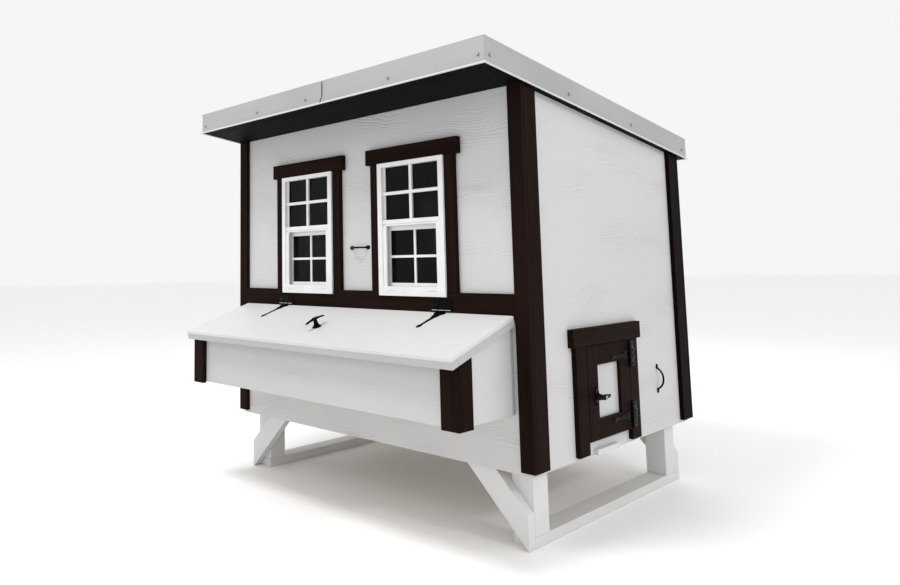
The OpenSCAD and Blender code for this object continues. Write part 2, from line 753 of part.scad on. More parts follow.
// The rod bows out towards -y between two feet on local Z; y = 0 is the wall's face.
module bow_pull() {
    intersection() {
        translate([0, pull_bow_r - pull_rise, 0]) rotate([0, 90, 0]) rotate([0, 0, -90 - pull_angle])
            rotate_extrude(angle = 2 * pull_angle) translate([pull_bow_r, 0]) circle(r = pull_r, $fn = 24);
        translate([-20, -60, -80]) cube([40, 60, 160]);
    }
    for (z = [-pull_half, pull_half])
        translate([0, 0, z]) rotate([90, 0, 0]) cylinder(r = pull_foot_r, h = 3);
}

module bow_pulls() color(black) {
    on_front(front_pull[0], front_pull[1], trim_t) rotate([0, 90, 0]) bow_pull();
    on_right(side_pull[0], side_pull[1]) translate([0, trim_t, 0]) bow_pull();
}

// ---------- roosts ----------
roost_w = 400;
roost_vs = [735, 1080];
roost_size = [38, 60];
cradle_t = 18;
shelf = [40, 25];

module roost_bars() color(timber) for (v = roost_vs)
    block([room_in + cradle_t + 1, coop_w - room_in - cradle_t - 1], [v, v + roost_size[0]],
        [roost_w, roost_w + roost_size[1]]);

// Each cradle is a block on the wall's rail with a shelf that carries the bar's end.
module roost_cradles() color(timber) both_sides() for (v = roost_vs) {
    block([room_in, room_in + cradle_t], [v - 30, v + roost_size[0] + 30], [roost_w - 60, roost_w + 40]);
    block([room_in + cradle_t, room_in + cradle_t + shelf[0]], [v - 10, v + roost_size[0] + 10],
        [roost_w - shelf[1], roost_w]);
}

// ---------- roof ----------
roof_u = [edge_t - roof_side, coop_w + roof_side - edge_t];
roof_v = [edge_t - roof_front, coop_d + roof_back - edge_t];
rafters = 5;
soffit_t = 6;

// Rim boards, rafters and the soffit board under the front overhang.
module roof_frame() color(brown) {
    for (u = [roof_u[0], roof_u[1] - stud]) roof_board([u, u + stud], roof_v, 0, rim_h);
    cross_u = between(roof_u[0] + stud, roof_u[1] - stud);
    for (v = [roof_v[0], roof_v[1] - stud]) roof_board(cross_u, [v, v + stud], 0, rim_h);
    roof_board(cross_u, [roof_v[0] + stud + seam, trim_t], 0, soffit_t - seam);
    for (i = [1 : rafters]) {
        u = cross_u[0] + i * (cross_u[1] - cross_u[0]) / (rafters + 1) - stud / 2;
        roof_board([u, u + stud], between(roof_v[0] + stud, roof_v[1] - stud), soffit_t, rim_h);
    }
}

// The deck lies a hair above the boards it is nailed to.
module roof_deck() color(timber) roof_board(roof_u, roof_v, rim_h + run_gap, rim_h + ply);

// Ribbed metal sheet: trapezoid ribs at a constant pitch, laid along the slope.
ribs = 8;
rib_top = 20;
rib_foot = 44;
sheet_end = 1.5;
rib_pitch = (coop_w + 2 * roof_side - 80) / (ribs - 1);

module roof_sheet() color(metal) {
    deck_z = under_roof(roof_v[0]) + rim_h + ply;
    slope_len = (roof_v[1] - roof_v[0]) / cos(roof_pitch);
    translate([left_x + mid_u, front_y + roof_v[0], leg_h + deck_z]) rotate([-roof_pitch, 0, 0]) {
        half = (roof_u[1] - roof_u[0]) / 2;
        edge = slope_len - sheet_end;
        translate([-half, sheet_end, 0]) cube([2 * half, edge - sheet_end, sheet_t]);
        for (i = [0 : ribs - 1]) translate([(i - (ribs - 1) / 2) * rib_pitch, edge, sheet_t])
            rotate([90, 0, 0]) linear_extrude(edge - sheet_end)
                polygon([[-rib_foot / 2, 0], [rib_foot / 2, 0],
                    [rib_top / 2, rib_h - sheet_t], [-rib_top / 2, rib_h - sheet_t]]);
    }
}

trim_flange = 50;
drip_lip = 1.5;
seam_u = mid_u + 48;
seam_lap = 18;
lap_root = 4;
lap_t = 1;
roof_high = rim_h + ply + rib_h / cos(roof_pitch) + seam;
edge_v = [-roof_front, coop_d + roof_back];

// Bent metal: a face from below the rim to above the ribs, and a flange on the ribs.
module side_edge_trim() {
    roof_board([-roof_side, edge_t - roof_side], edge_v, -drip_lip, roof_high + edge_t);
    roof_board([-roof_side, trim_flange - roof_side], edge_v, roof_high, roof_high + edge_t);
}

// One front length of edge metal, from the side to end_u.
module front_edge_trim(end_u) {
    face_end = edge_t - roof_side + seam;
    flange_end = trim_flange - roof_side + seam;
    front_v = edge_v[0];
    face_v = [front_v, front_v + edge_t];
    roof_board([face_end, end_u - seam], face_v, -drip_lip, roof_high - seam);
    roof_board([flange_end, end_u - seam], face_v, roof_high - 1, roof_high + edge_t);
    roof_board([flange_end, end_u - seam], [front_v, front_v + trim_flange], roof_high, roof_high + edge_t);
}

// The right length's lap stands clear of the left one's face and joins its own beside the seam.
module front_lap() {
    face = edge_v[0] - touch_gap;
    roof_board([seam_u - seam_lap, seam_u + lap_root], [face - lap_t, face], 0, roof_high);
    roof_board([seam_u, seam_u + lap_root], [face, edge_v[0] + edge_t], 0, roof_high);
}

module roof_edge_trims() color(metal) {
    both_sides() side_edge_trim();
    front_edge_trim(seam_u);
    mirrored() front_edge_trim(coop_w - seam_u);
    front_lap();
    roof_board([edge_t - roof_side + seam, coop_w + roof_side - edge_t - seam],
        [edge_v[1] - edge_t, edge_v[1]], -drip_lip, rim_h + ply - seam);
}

screw_r = 5;
screw_w = 31;
front_screw_us = [15, 445, 787, 1268, 1685];
side_screw_first = edge_v[0] + 28;
side_screw_step = (edge_v[1] - edge_v[0] - 73) / 3;

// Places children at a height up the roof's edge, at wall coordinates (u, v).
module on_edge(u, v, turn)
    translate([left_x + u, front_y + v, leg_h + under_roof(v) + screw_w]) rotate(turn) children();

module roof_trim_screws() color(metal) {
    for (u = front_screw_us)
        on_edge(u, edge_v[0], [90, 0, 0]) cylinder(r = screw_r, h = screw_head);
    both_sides() for (i = [0 : 3])
        on_edge(-roof_side, side_screw_first + i * side_screw_step, [0, -90, 0])
            cylinder(r = screw_r, h = screw_head);
}

base_runners();
base_legs();
base_braces();
floor_frame();
floor_panel();
front_wall_frame();
back_wall_frame();
side_wall_frames();
front_siding();
back_siding();
left_siding();
right_siding();
front_left_corner_trim();
front_right_corner_trim();
back_left_corner_trim();
back_right_corner_trim();
front_band_board();
window_headers();
window_jamb_trims();
left_window_frame();
right_window_frame();
upper_window_glass();
left_lower_sash();
right_lower_sash();
left_sash_glass();
right_sash_glass();
nest_front_panel();
nest_side_panels();
nest_floor();
nest_dividers();
nest_rails();
nest_corner_trims();
nest_lid_panel();
nest_lid_edging();
hinge_leaves();
hinge_pins();
nest_lid_straps();
chicken_door_straps();
rear_door_straps();
lid_handle_plate();
lid_handle();
chicken_door_plate();
chicken_door_handle();
rear_door_plate();
rear_door_handle();
chicken_door_casing();
chicken_door_frame();
chicken_door_pane();
ramp_cleat();
rear_door_casing();
rear_door_frame();
rear_door_panel();
bow_pulls();
roost_bars();
roost_cradles();
roof_frame();
roof_deck();
roof_sheet();
roof_edge_trims();
roof_trim_screws();
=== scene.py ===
"""The look of the raised chicken coop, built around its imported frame.

Lengths are metres in the frame's axes, and millimetres where that is said.
"""

import json
import math
import random

import bmesh
import bpy
import numpy as np
from mathutils import Matrix, Vector


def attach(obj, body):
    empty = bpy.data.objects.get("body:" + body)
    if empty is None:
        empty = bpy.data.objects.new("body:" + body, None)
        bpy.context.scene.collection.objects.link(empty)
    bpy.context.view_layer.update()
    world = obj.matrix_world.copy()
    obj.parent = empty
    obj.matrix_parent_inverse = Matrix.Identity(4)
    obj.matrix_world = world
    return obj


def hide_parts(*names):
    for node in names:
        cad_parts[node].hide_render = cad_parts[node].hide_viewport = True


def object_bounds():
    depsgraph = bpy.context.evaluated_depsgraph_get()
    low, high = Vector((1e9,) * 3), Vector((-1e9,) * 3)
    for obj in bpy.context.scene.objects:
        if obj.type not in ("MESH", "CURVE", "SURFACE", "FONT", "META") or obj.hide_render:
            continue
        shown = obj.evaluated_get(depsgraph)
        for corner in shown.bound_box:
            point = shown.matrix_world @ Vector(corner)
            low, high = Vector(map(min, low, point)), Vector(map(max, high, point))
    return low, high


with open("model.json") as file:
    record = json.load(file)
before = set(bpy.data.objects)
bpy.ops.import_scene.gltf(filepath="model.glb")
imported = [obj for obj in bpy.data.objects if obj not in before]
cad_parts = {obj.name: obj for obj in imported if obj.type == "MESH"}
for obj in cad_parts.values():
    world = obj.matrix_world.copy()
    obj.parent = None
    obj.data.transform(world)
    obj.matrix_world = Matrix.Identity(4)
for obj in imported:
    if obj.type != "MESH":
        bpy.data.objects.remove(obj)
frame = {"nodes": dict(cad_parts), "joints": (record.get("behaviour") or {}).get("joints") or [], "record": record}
CAD_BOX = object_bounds()
random.seed(7)
MM = 0.001

# ---------- camera ----------
# Solved from the coop's own vertical, width and depth lines.
CAMERA_PLACE = (2.2743, -2.656, 0.980)
CAMERA_TURN = (96.18, 0.90, 46.49)  # degrees about x, y and z
SENSOR_WIDTH, FOCAL_LENGTH = 36, 29.58  # millimetres
SHIFT_X, SHIFT_Y = 0.1037, -0.1225  # in sensor widths

camera = bpy.data.objects.new("camera", bpy.data.cameras.new("camera"))
camera.location = CAMERA_PLACE
camera.rotation_euler = [math.radians(a) for a in CAMERA_TURN]
camera.data.sensor_width = SENSOR_WIDTH
camera.data.lens = FOCAL_LENGTH
camera.data.shift_x = SHIFT_X
camera.data.shift_y = SHIFT_Y
bpy.context.scene.collection.objects.link(camera)
bpy.context.scene.camera = camera

# ---------- materials ----------
GRAIN = "grain"  # the mesh attribute that holds each vertex's place along and across its board
NOISE_MIDDLE = (0.3, 0.7)  # where most values of a noise lie


class Recipe:
    """One node material, with a short call for each kind of node it uses."""

    def __init__(self, name, base, roughness, **values):
        self.material = bpy.data.materials.new(name)
        self.material.use_nodes = True
        self.tree = self.material.node_tree
        self.shader = self.tree.nodes["Principled BSDF"]
        self.shader.inputs["Base Color"].default_value = (*base, 1)
        self.shader.inputs["Roughness"].default_value = roughness
        for key, value in values.items():
            self.shader.inputs[key.replace("_", " ").title().replace("Ior", "IOR")].default_value = value

    def node(self, kind, *inputs, **settings):
        made = self.tree.nodes.new("ShaderNode" + kind)
        for key, value in settings.items():
            setattr(made, key, value)
        for index, value in enumerate(inputs):
            if isinstance(value, bpy.types.NodeSocket):
                self.tree.links.new(value, made.inputs[index])
            else:
                made.inputs[index].default_value = value
        return made

    def place(self, attribute, scale):
        """Coordinates from a mesh attribute, or from the object in metres, times scale."""
        if attribute:
            source = self.node("Attribute", attribute_name=attribute).outputs["Vector"]
        else:
            source = self.node("TexCoord").outputs["Object"]
        mapping = self.node("Mapping", source)
        mapping.inputs["Scale"].default_value = scale
        return mapping.outputs[0]

    def noise(self, attribute, scale, detail=2.0, roughness=0.5, distortion=0.0):
        """Noise; scale is its density along each axis, or one density for all of them."""
        made = self.node("TexNoise")
        where = self.place(attribute, scale if isinstance(scale, tuple) else (scale,) * 3)
        self.tree.links.new(where, made.inputs["Vector"])
        settings = {"Scale": 1.0, "Detail": detail, "Roughness": roughness, "Distortion": distortion}
        for key, value in settings.items():
            made.inputs[key].default_value = value
        return made.outputs[0]

    def math(self, operation, *values):
        return self.node("Math", *values, operation=operation).outputs[0]

    def add(self, a, b):
        return self.math("ADD", a, b)

    def times(self, a, b):
        return self.math("MULTIPLY", a, b)

    def inverted(self, value):
        return self.math("SUBTRACT", 1.0, value)

    def spread(self, value, low, high, to_low=0.0, to_high=1.0):
        """Maps low..high to to_low..to_high, held at both ends."""
        return self.node("MapRange", value, low, high, to_low, to_high).outputs[0]

    def swing(self, noise, to_low=0.0, to_high=1.0):
        """Maps the range where most of a noise lies to to_low..to_high."""
        return self.spread(noise, *NOISE_MIDDLE, to_low, to_high)

    def mix(self, factor, a, b):
        made = self.node("Mix", factor, data_type="RGBA")
        for socket, value in ((made.inputs[6], a), (made.inputs[7], b)):
            if isinstance(value, bpy.types.NodeSocket):
                self.tree.links.new(value, socket)
            else:
                socket.default_value = (*value, 1)
        return made.outputs[2]

    def grain(self, attribute, pitch, wander, along, across):
        """Grooves pitch metres apart that wander and close into loops: 0 in a groove, 1 between grooves."""
        drift = self.noise(attribute, along_first(attribute, along, across), distortion=0.3)
        axes = self.node("SeparateXYZ", self.place(attribute, (1, 1, 1))).outputs
        level = self.add(axes[1], self.times(axes[2], 0.8)) if attribute else axes[2]
        phase = self.add(self.times(level, 1 / pitch), self.times(drift, wander))
        return self.spread(self.math("SINE", self.times(phase, 2 * math.pi)), -1.0, 0.25)

    def coat(self, colour, roughness=None, height=None, depth=None):
        """Feeds the shader, with height as a bump depth metres deep, and returns the finished material."""
        self.tree.links.new(colour, self.shader.inputs["Base Color"])
        if roughness is not None:
            self.tree.links.new(roughness, self.shader.inputs["Roughness"])
        if height is not None:
            bump = self.node("Bump", 1.0, depth)
            self.tree.links.new(height, bump.inputs["Height"])
            self.tree.links.new(bump.outputs[0], self.shader.inputs["Normal"])
        return self.material


def along_first(attribute, along, across):
    """Board attributes hold their length in x. On the object the grain runs level, so only z is dense."""
    return (along, across, across) if attribute else (along, along, across)


def grey(value):
    return (value, value, value)


def tinted(colour, factor):
    return tuple(min(1.0, c * factor) for c in colour)


def embossed_paint(name, base, roughness, pitch, depth, groove_painted_shade, gloss=0.4, bare=0.1, attribute=GRAIN):
    """Paint over boards or panels embossed with wood grain, strong in some bands and faint in others.

    The grooves are painted darker, a painted shade, down to the given groove tone; bare is how much grain is left
    between the bands.
    """
    r = Recipe(name, base, roughness, specular_ior_level=gloss)
    lines_of = r.grain(attribute, pitch, wander=11.0, along=2.3, across=7.5)
    band = r.noise(attribute, along_first(attribute, 2.6, 8.0))
    fibres = r.noise(attribute, along_first(attribute, 9, 210), detail=3.0, roughness=0.6)
    groove = r.times(r.inverted(lines_of), r.spread(band, 0.47, 0.70, bare, 1.0))
    height = r.math("SUBTRACT", r.times(fibres, 0.4), groove)
    weather = r.noise(None, (1.3, 1.3, 0.9), detail=3.0)
    body = r.mix(r.swing(weather), tinted(base, 0.975), tinted(base, 1.025))
    # Grooves painted darker than the body: painted shade in the embossing.
    colour = r.mix(r.times(groove, 0.8), body, tinted(base, groove_painted_shade))
    return r.coat(colour, r.swing(fibres, roughness - 0.07, roughness + 0.09), height, depth)


def bare_wood(name, pale, dark, roughness):
    """Sawn softwood: growth lines in two tones, fine fibres, slow changes of tone from board to board."""
    r = Recipe(name, pale, roughness)
    lines_of = r.grain(GRAIN, 9 * MM, wander=7.0, along=0.9, across=9.0)
    fibres = r.noise(GRAIN, (6, 260, 260), detail=3.0, roughness=0.6)
    tone = r.noise(GRAIN, (0.3, 1.2, 1.2), detail=1.0)
    paler = r.spread(r.add(r.times(fibres, 0.6), r.times(tone, 0.6)), 0.35, 0.85)
    colour = r.mix(paler, r.mix(lines_of, dark, pale), tinted(pale, 1.12))
    height = r.add(r.times(lines_of, 0.3), fibres)
    return r.coat(colour, r.swing(fibres, roughness - 0.08, roughness + 0.1), height, 0.4 * MM)


def brown_paint(name, base):
    """Satin paint over grained trim: the grooves are painted darker, a painted shade, and wear lightens it in
    faint streaks.
    """
    r = Recipe(name, base, 0.5, specular_ior_level=0.022)
    lines_of = r.grain(GRAIN, 7 * MM, wander=7.0, along=1.8, across=12.0)
    fibres = r.noise(GRAIN, (9, 330, 330), detail=3.0, roughness=0.6)
    streak = r.noise(GRAIN, (1.1, 26, 26), detail=3.0, roughness=0.6)
    body = r.mix(r.spread(streak, 0.34, 0.7), tinted(base, 0.78), tinted(base, 1.4))
    # Grooves blend towards a darker brown: painted shade.
    colour = r.mix(r.times(r.inverted(lines_of), 0.5), body, tinted(base, 0.6))
    height = r.add(r.times(lines_of, 0.8), r.times(fibres, 0.35))
    return r.coat(colour, r.swing(fibres, 0.42, 0.6), height, 0.5 * MM)


def coated_metal(name, base, metallic, roughness, streaks, depth):
    """Bent coated sheet: faint mottling, hairline streaks along the sheet and a slow waviness."""
    r = Recipe(name, base, roughness, metallic=metallic)
    mottle = r.noise(None, 60, detail=3.0)
    streak = r.noise(None, streaks)
    slow = r.noise(None, (2.2, 2.2, 5), detail=1.0)
    body = r.mix(r.swing(slow), tinted(base, 0.93), tinted(base, 1.05))
    colour = r.mix(r.spread(streak, 0.35, 0.75, 0.0, 0.35), body, tinted(base, 0.86))
    height = r.add(r.times(slow, 6.0), r.times(mottle, 0.2))
    return r.coat(colour, r.swing(mottle, roughness - 0.06, roughness + 0.08), height, depth)


def black_coat(name, base, rubbed):
    """Powder coat on cast and pressed hardware: fine orange peel, rubbed a little paler in patches."""
    r = Recipe(name, base, 0.3, specular_ior_level=0.05)
    peel = r.noise(None, 900)
    rub = r.noise(None, 70, detail=3.0, roughness=0.6)
    return r.coat(r.mix(r.spread(rub, 0.55, 0.78), base, rubbed), r.swing(rub, 0.16, 0.3), peel, 0.25 * MM)


def vinyl(name, base):
    """Moulded window vinyl: a cloudy tone and gloss over a very fine texture."""
    r = Recipe(name, base, 0.36)
    cloud = r.noise(None, 14, detail=3.0)
    fine = r.noise(None, 700)
    colour = r.mix(r.spread(cloud, 0.35, 0.68), tinted(base, 0.95), tinted(base, 1.03))
    return r.coat(colour, r.swing(cloud, 0.3, 0.44), fine, 0.08 * MM)


def dark_glass(name, base, clean_painted_shade, dust_over_painted_shade):
    """Window glass painted almost black, a painted shade for the unlit room behind it, with a film of dust that
    greys it unevenly.
    """
    r = Recipe(name, base, 0.05, alpha=0.9, specular_ior_level=0.08)
    film = r.noise(None, (7, 7, 4), detail=4.0, roughness=0.6)
    return r.coat(r.mix(r.spread(film, 0.5, 0.8), clean_painted_shade, dust_over_painted_shade), r.spread(film, 0.3, 0.75, 0.03, 0.16))


def milky_pane(name, base):
    """A translucent plastic sheet, unevenly clouded."""
    r = Recipe(name, base, 0.2, alpha=0.93)
    film = r.noise(None, (9, 9, 6), detail=4.0, roughness=0.6)
    return r.coat(r.mix(r.swing(film), tinted(base, 0.94), tinted(base, 1.04)), r.swing(film, 0.16, 0.32))


BROWN = (0.0118, 0.0056, 0.0042)
# One look for each material slot of the record, and three more that only some boards of a slot have: darker copies
# of a slot's paint, painted shade.
LOOKS = {
    "white_siding": (embossed_paint, dict(
        base=grey(0.555), roughness=0.52, pitch=13 * MM, depth=1 * MM, groove_painted_shade=0.91, attribute=None)),
    # The nest front: the siding paint made darker, painted shade, with finer and fainter grain.
    "nest_siding": (embossed_paint, dict(
        base=grey(0.495), roughness=0.52, pitch=12 * MM, depth=0.7 * MM, groove_painted_shade=0.95, bare=0.06,
        attribute=None)),
    "white_board": (embossed_paint, dict(
        base=grey(0.605), roughness=0.44, pitch=16 * MM, depth=0.12 * MM, groove_painted_shade=0.985, bare=0.0)),
    # The lid's edging: the lid's white paint made darker, painted shade below its lit top.
    "lid_edging": (embossed_paint, dict(
        base=grey(0.43), roughness=0.5, pitch=16 * MM, depth=0.3 * MM, groove_painted_shade=0.96, bare=0.0)),
    "base_paint": (embossed_paint, dict(
        base=grey(0.645), roughness=0.55, pitch=14 * MM, depth=0.3 * MM, groove_painted_shade=0.96)),
    "soffit_paint": (embossed_paint, dict(
        base=(0.0040, 0.0042, 0.0044), roughness=0.6, pitch=12 * MM, depth=0.4 * MM, groove_painted_shade=0.7, gloss=0.03)),
    "brown_trim": (brown_paint, dict(base=BROWN)),
    # The back corner trims: the brown paint at four tenths, painted shade on the trims facing away from the light.
    "rear_trim": (brown_paint, dict(base=tinted(BROWN, 0.4))),
    "bare_timber": (bare_wood, dict(pale=(0.55, 0.49, 0.42), dark=(0.41, 0.36, 0.30), roughness=0.62)),
    "plywood": (bare_wood, dict(pale=(0.54, 0.48, 0.41), dark=(0.43, 0.38, 0.32), roughness=0.6)),
    "white_vinyl": (vinyl, dict(base=grey(0.735))),
    # The glass's colours are painted shade of the room behind it, the paler one with dust over that shade.
    "window_glass": (dark_glass, dict(
        base=(0.005, 0.0052, 0.0055), clean_painted_shade=(0.003, 0.0032, 0.0035), dust_over_painted_shade=(0.014, 0.0145, 0.015))),
    "door_pane": (milky_pane, dict(base=(0.535, 0.54, 0.54))),
    "black_hardware": (black_coat, dict(base=(0.0016, 0.0016, 0.0018), rubbed=grey(0.006))),
    "roof_metal": (coated_metal, dict(
        base=(0.50, 0.51, 0.52), metallic=0.55, roughness=0.4, streaks=(120, 1.5, 120), depth=0.3 * MM)),
    "edge_metal": (coated_metal, dict(
        base=(0.40, 0.401, 0.402), metallic=0.3, roughness=0.42, streaks=(1.5, 1.5, 30), depth=0.3 * MM)),
}
MATERIALS = {name: make(name, **values) for name, (make, values) in LOOKS.items()}
# The CAD nodes whose look isn't their slot's own, darker copies of it for painted shade.
OWN_LOOK = {
    "nest_lid_edging": "lid_edging",
    "nest_front_panel": "nest_siding",
    "back_left_corner_trim": "rear_trim",
    "back_right_corner_trim": "rear_trim",
}
SLOT_OF = {part["node"]: part["material_slot"] for part in frame["record"]["subparts"]}
BODY_OF = {node: body for body, nodes in frame["record"]["behaviour"]["bodies"].items() for node in nodes}


# ---------- meshes ----------
WELD = 0.01 * MM  # corners closer than this are one
FLAT = math.radians(0.3)  # faces that meet at less than this are one face
SHARP = math.radians(25)  # edges that turn more than this are eased
GRAIN_STARTS = 40  # each board's grain starts somewhere in this many metres


def welded(node):
    """A CAD node's mesh as a bmesh with its corners joined and its flat faces whole again."""
    bm = bmesh.new()
    bm.from_mesh(frame["nodes"][node].data)
    bmesh.ops.remove_doubles(bm, verts=bm.verts, dist=WELD)
    bmesh.ops.dissolve_limit(bm, angle_limit=FLAT, verts=bm.verts, edges=bm.edges)
    return bm


def islands(bm):
    """The vertices of a bmesh's separate solids, in the order of their lowest corners.

    They are lists, because a set of vertices comes in another order each run.
    """
    left, found = set(bm.verts), []
    for first in bm.verts:
        if first not in left:
            continue
        left.discard(first)
        group, todo = [first], [first]
        while todo:
            for edge in todo.pop().link_edges:
                for v in edge.verts:
                    if v in left:
                        left.discard(v)
                        group.append(v)
                        todo.append(v)
        found.append(group)
    return sorted(found, key=lambda group: tuple(round(c, 3) for c in min(tuple(v.co) for v in group)))


def solids(node):
    """The (lowest corner, highest corner) of each separate solid of a CAD node."""
    bm = welded(node)
    boxes = []
    for group in islands(bm):
        co = np.array([v.co for v in group])
        boxes.append((Vector(co.min(0)), Vector(co.max(0))))
    bm.free()
    return boxes


def board_axes(group):
    """A board's own axes, longest first, from its corners."""
    co = np.array([v.co for v in group])
    co = co - co.mean(0)
    return np.linalg.svd(co, full_matrices=False)[2]


def lay_grain(bm):
    """Stores on every vertex its place along and across its own board, each board from its own start."""
    layer = bm.verts.layers.float_vector.new(GRAIN)
    for group in islands(bm):
        axes = board_axes(group)
        start = Vector([random.uniform(0, GRAIN_STARTS) for _ in range(3)])
        for v in group:
            v[layer] = Vector(axes @ np.array(v.co)) + start


def loose_object(bm, name):
    """Turns a bmesh into an object of the scene."""
    mesh = bpy.data.meshes.new(name)
    bm.to_mesh(mesh)
    bm.free()
    made = bpy.data.objects.new(name, mesh)
    bpy.context.scene.collection.objects.link(made)
    return made


def finished(bm, name, node, slot=None, smooth=None, look=None):
    """Makes a piece that rides on node's body, in the look given, else the look of the slot given, else of node's
    slot.

    Edges that turn less than smooth degrees are shaded round.
    """
    bm.normal_update()
    piece = loose_object(bm, name)
    mesh = piece.data
    if smooth:
        mesh.polygons.foreach_set("use_smooth", [True] * len(mesh.polygons))
        mesh.set_sharp_from_angle(angle=math.radians(smooth))
    slot = slot or SLOT_OF[node]
    mesh.materials.append(MATERIALS[look or slot])
    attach(piece, BODY_OF[node])
    return piece


def stand_in(bm, node, smooth=None):
    """Makes the piece that stands for a CAD node."""
    piece = finished(bm, node + ".look", node, smooth=smooth, look=OWN_LOOK.get(node))
    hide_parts(node)


def eased(bm, width, segments):
    """Rounds every sharp edge a little, as sawn, moulded and painted edges are."""
    edges = [e for e in bm.edges if e.is_manifold and e.calc_face_angle(0) > SHARP]
    bmesh.ops.bevel(
        bm, geom=edges, offset=width, offset_type="OFFSET", segments=segments, profile=0.5, affect="EDGES",
        clamp_overlap=True,
    )


# CAD nodes that keep their shape but get eased edges and their own grain: (rounding in mm, segments, nodes).
EASED = (
    (1.6, 2, (
        "front_left_corner_trim", "front_right_corner_trim", "back_left_corner_trim",
        "back_right_corner_trim", "front_band_board", "window_headers", "window_jamb_trims",
        "nest_corner_trims", "chicken_door_casing", "chicken_door_frame", "rear_door_casing",
        "rear_door_frame", "ramp_cleat",
    )),
    (3.0, 2, ("base_runners", "base_legs", "base_braces")),
    (2.0, 2, ("nest_lid_edging", "roof_frame")),
    (1.5, 2, (
        "floor_frame", "front_wall_frame", "back_wall_frame", "side_wall_frames", "roost_bars",
        "roost_cradles", "nest_rails",
    )),
    (0.6, 2, ("floor_panel", "nest_floor", "nest_dividers", "roof_deck", "nest_lid_panel")),
    (0.7, 1, (
        "front_siding", "back_siding", "left_siding", "right_siding", "nest_front_panel", "nest_side_panels",
        "rear_door_panel",
    )),
    (1.3, 2, ("left_window_frame", "right_window_frame", "left_lower_sash", "right_lower_sash")),
    (0.5, 1, ("roof_sheet", "roof_edge_trims")),
    (0.3, 1, ("upper_window_glass", "left_sash_glass", "right_sash_glass", "chicken_door_pane")),
)
for rounding, segments, nodes in EASED:
    for node in nodes:
        bm = welded(node)
        eased(bm, rounding * MM, segments)
        lay_grain(bm)
        stand_in(bm, node)


# ---------- small metal parts ----------
# Edges that turn less than these degrees are shaded round, on turned parts and on parts with flats.
ROUND, CRISP = 38, 30


def in_mm(points):
    """Points given in millimetres; a third value, which marks a sharp corner, is kept."""
    return [(p[0] * MM, p[1] * MM) + tuple(p[2:]) for p in points]


def skin(bm, rings):
    """Joins rings of vertices, each to the next, and closes both ends."""
    count = len(rings[0])
    for low, high in zip(rings, rings[1:]):
        for i in range(count):
            j = (i + 1) % count
            bm.faces.new((low[i], low[j], high[j], high[i]))
    bm.faces.new(list(reversed(rings[0])))
    bm.faces.new(rings[-1])


def lathe(bm, profile, matrix, sides):
    """Turns (radius, height) points round local Z and closes both ends."""
    angles = [2 * math.pi * i / sides for i in range(sides)]
    skin(bm, [
        [bm.verts.new(matrix @ Vector((radius * math.cos(a), radius * math.sin(a), height))) for a in angles]
        for radius, height in profile
    ])


def curve_through(points, steps=6):
    """A closed smooth outline through points. A point given as (x, y, True) is a sharp corner."""
    count = len(points)
    flat = [Vector((p[0], p[1])) for p in points]
    sharp = [len(p) > 2 for p in points]
    out = []
    for i in range(count):
        p0, p1, p2, p3 = (flat[(i + k) % count] for k in (-1, 0, 1, 2))
        m1 = (p2 - p1) * 0.5 if sharp[i] else (p2 - p0) * 0.5
        m2 = (p2 - p1) * 0.5 if sharp[(i + 1) % count] else (p3 - p1) * 0.5
        for k in range(steps):
            t = k / steps
            a, b = 2 * t**3 - 3 * t**2 + 1, t**3 - 2 * t**2 + t
            c, d = -2 * t**3 + 3 * t**2, t**3 - t**2
            out.append(p1 * a + m1 * b + p2 * c + m2 * d)
    return out


def plate(bm, outline, thickness, matrix, chamfer):
    """A pressed plate: outline in local x and z, its back at y = 0, its face towards -y with an eased rim."""
    area = sum(a.x * b.y - b.x * a.y for a, b in zip(outline, outline[1:] + outline[:1]))
    if area < 0:
        outline = list(reversed(outline))
    count = len(outline)
    normals = []
    for i in range(count):
        tangent = (outline[(i + 1) % count] - outline[i - 1]).normalized()
        normals.append(Vector((tangent.y, -tangent.x)))
    levels = (
        (0, 0.0),
        (-(thickness - chamfer), 0.0),
        (-(thickness - chamfer * 0.3), chamfer * 0.45),
        (-thickness, chamfer),
    )
    rings = []
    for y, inset in levels:
        corners = [p - n * inset for p, n in zip(outline, normals)]
        rings.append([bm.verts.new(matrix @ Vector((c.x, y, c.y))) for c in corners])
    skin(bm, rings)


def mirrored_outline(half, across_x=True):
    """Completes half an outline across the x axis or the y axis; half runs from one crossing to the other."""
    x_sign, y_sign = (1, -1) if across_x else (-1, 1)
    return list(half) + [(p[0] * x_sign, p[1] * y_sign) + tuple(p[2:]) for p in reversed(half[1:-1])]


def cross_head(radius, height):
    """A pan head screw with a cross recess, standing on z = 0."""
    # Shares of the radius and the height.
    pan = ((1, 0), (1, 0.35), (0.93, 0.65), (0.72, 0.9), (0.4, 1))
    slot_length, slot_width, slot_height = 1.2 * radius, 0.24 * radius, 0.9 * height
    bm = bmesh.new()
    lathe(bm, [(radius * r, height * h) for r, h in pan], Matrix.Identity(4), 20)
    head = loose_object(bm, "head")
    bm = bmesh.new()
    for turn in (0, math.pi / 2):
        bar = bmesh.ops.create_cube(bm, size=1)["verts"]
        size = Matrix.Diagonal((slot_length, slot_width, slot_height, 1))
        place = Matrix.Rotation(turn, 4, "Z") @ Matrix.Translation((0, 0, height))
        bmesh.ops.transform(bm, verts=bar, matrix=place @ size)
    cutter = loose_object(bm, "recess")
    cut = head.modifiers.new("recess", "BOOLEAN")
    cut.object, cut.operation, cut.solver, cut.use_self = cutter, "DIFFERENCE", "EXACT", True
    result = bpy.data.meshes.new_from_object(head.evaluated_get(bpy.context.evaluated_depsgraph_get()))
    bpy.data.objects.remove(head)
    bpy.data.objects.remove(cutter)
    return result


SCREW = cross_head(3.6 * MM, 1.9 * MM)


